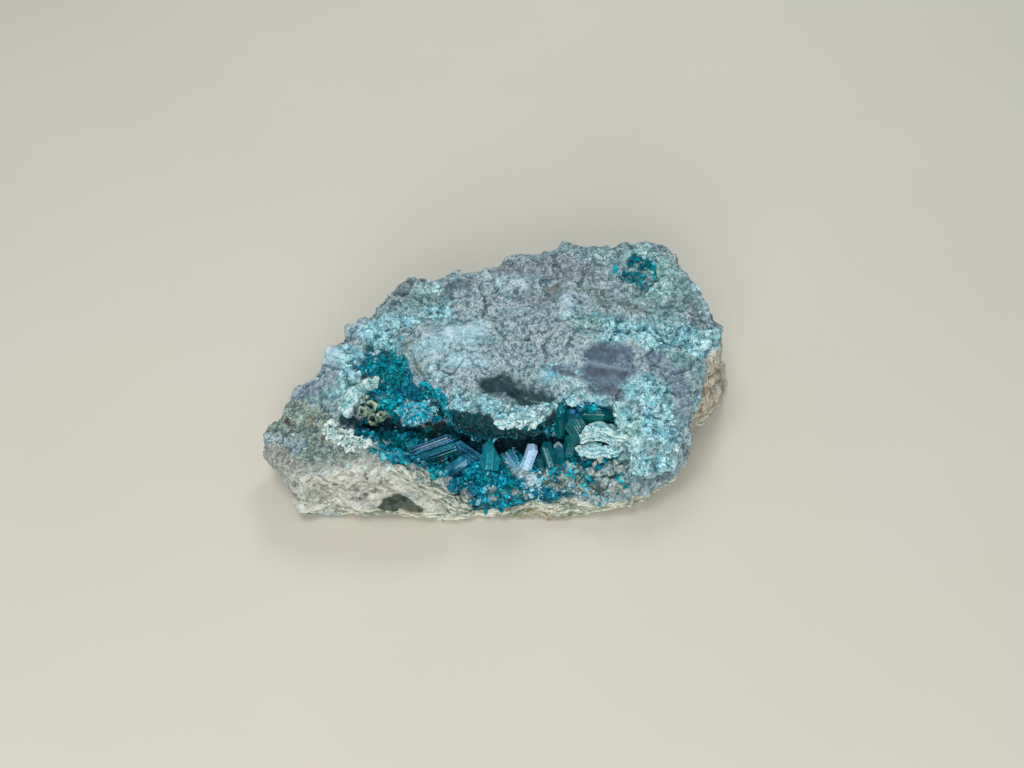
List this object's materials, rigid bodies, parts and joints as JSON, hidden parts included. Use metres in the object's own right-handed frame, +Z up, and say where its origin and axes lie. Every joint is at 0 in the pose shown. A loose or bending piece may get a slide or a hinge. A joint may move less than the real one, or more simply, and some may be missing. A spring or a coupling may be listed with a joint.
{
  "type": "dioptase with chrysocolla specimen",
  "caption": "Flat lump of gray quartz crusted with pale turquoise chrysocolla, with an open vug along its front lined with teal dioptase crystals.",
  "frame": {"origin": "on the resting plane, under the middle of the lump's bounding box", "axes": "+X runs along the lump from its thin gray end to its thick end, +Z is up as it lies, and -Y is the side where the vug opens"},
  "size_m": [0.0961, 0.0555, 0.0279],
  "materials": {
    "quartz_matrix": "rough",
    "chrysocolla": "matte, porous",
    "quartz_druse": "satin",
    "dioptase": "glossy, see-through",
    "dioptase_pale": "glossy, see-through",
    "dioptase_druse": "glossy, see-through"
  },
  "bodies": {
    "root": {"matrix_rock": "quartz_matrix", "dioptase_white_prism": "dioptase_pale", "dioptase_peak_prism": "dioptase", "dioptase_blue_prism": "dioptase", "dioptase_striated_bundle_left": "dioptase", "dioptase_striated_bundle_middle": "dioptase", "dioptase_striated_splinters": "dioptase_pale", "dioptase_dark_blocks": "dioptase", "dioptase_small_blocks": "dioptase", "chrysocolla_ledge_upper": "chrysocolla", "chrysocolla_ledge_lower": "chrysocolla", "chrysocolla_brow_edge": "chrysocolla", "chrysocolla_rim_left": "chrysocolla", "chrysocolla_plate_left": "chrysocolla", "quartz_boxwork": "quartz_druse", "quartz_nodules": "quartz_druse", "chrysocolla_ledge_left": "chrysocolla", "dioptase_left_pocket": "dioptase_druse", "dioptase_brow_lining": "dioptase_druse", "dioptase_floor_left": "dioptase_druse", "dioptase_floor_middle": "dioptase_druse", "dioptase_floor_right": "dioptase_druse", "dioptase_top_patch": "dioptase_druse"}
  },
  "joints": []
}
